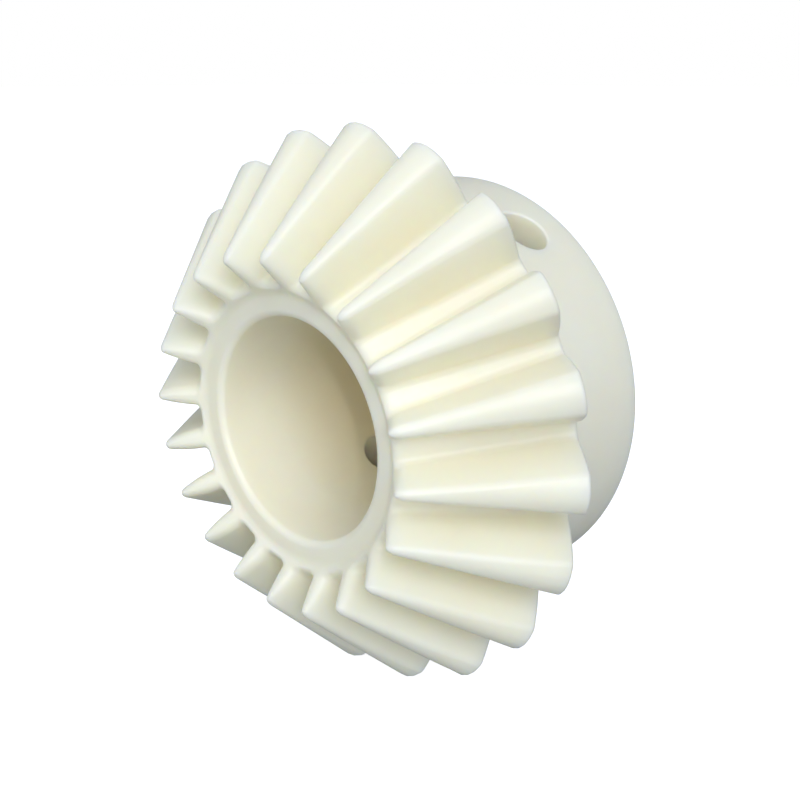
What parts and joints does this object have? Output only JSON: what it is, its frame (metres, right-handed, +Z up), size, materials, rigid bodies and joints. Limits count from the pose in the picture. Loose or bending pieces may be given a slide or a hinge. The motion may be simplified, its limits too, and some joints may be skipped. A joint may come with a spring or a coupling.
{
  "type": "bevel gear",
  "caption": "Straight mitre bevel gear in ivory plastic with a plain bore and a long round hub, locked to its shaft by two opposed set screws.",
  "frame": {"origin": "on the bore axis, halfway along the bore", "axes": "+Y along the bore from the small end of the teeth to the back of the hub, +Z up"},
  "size_m": [0.0642, 0.0333, 0.0642],
  "materials": {
    "nylon": "smooth natural ivory nylon, slightly translucent",
    "black_steel": "black oxide alloy steel"
  },
  "bodies": {
    "gear": {"gear_body": "nylon"},
    "upper_screw": {"upper_set_screw": "black_steel"},
    "lower_screw": {"lower_set_screw": "black_steel"}
  },
  "joints": [
    {"name": "upper_screw_travel", "type": "slide", "parent": "gear", "child": "upper_screw", "axis": [0.5519, 0, 0.8339], "range_m": [-0.0054, 0.005]},
    {"name": "lower_screw_travel", "type": "slide", "parent": "gear", "child": "lower_screw", "axis": [-0.5519, 0, -0.8339], "range_m": [-0.0054, 0.005]}
  ]
}
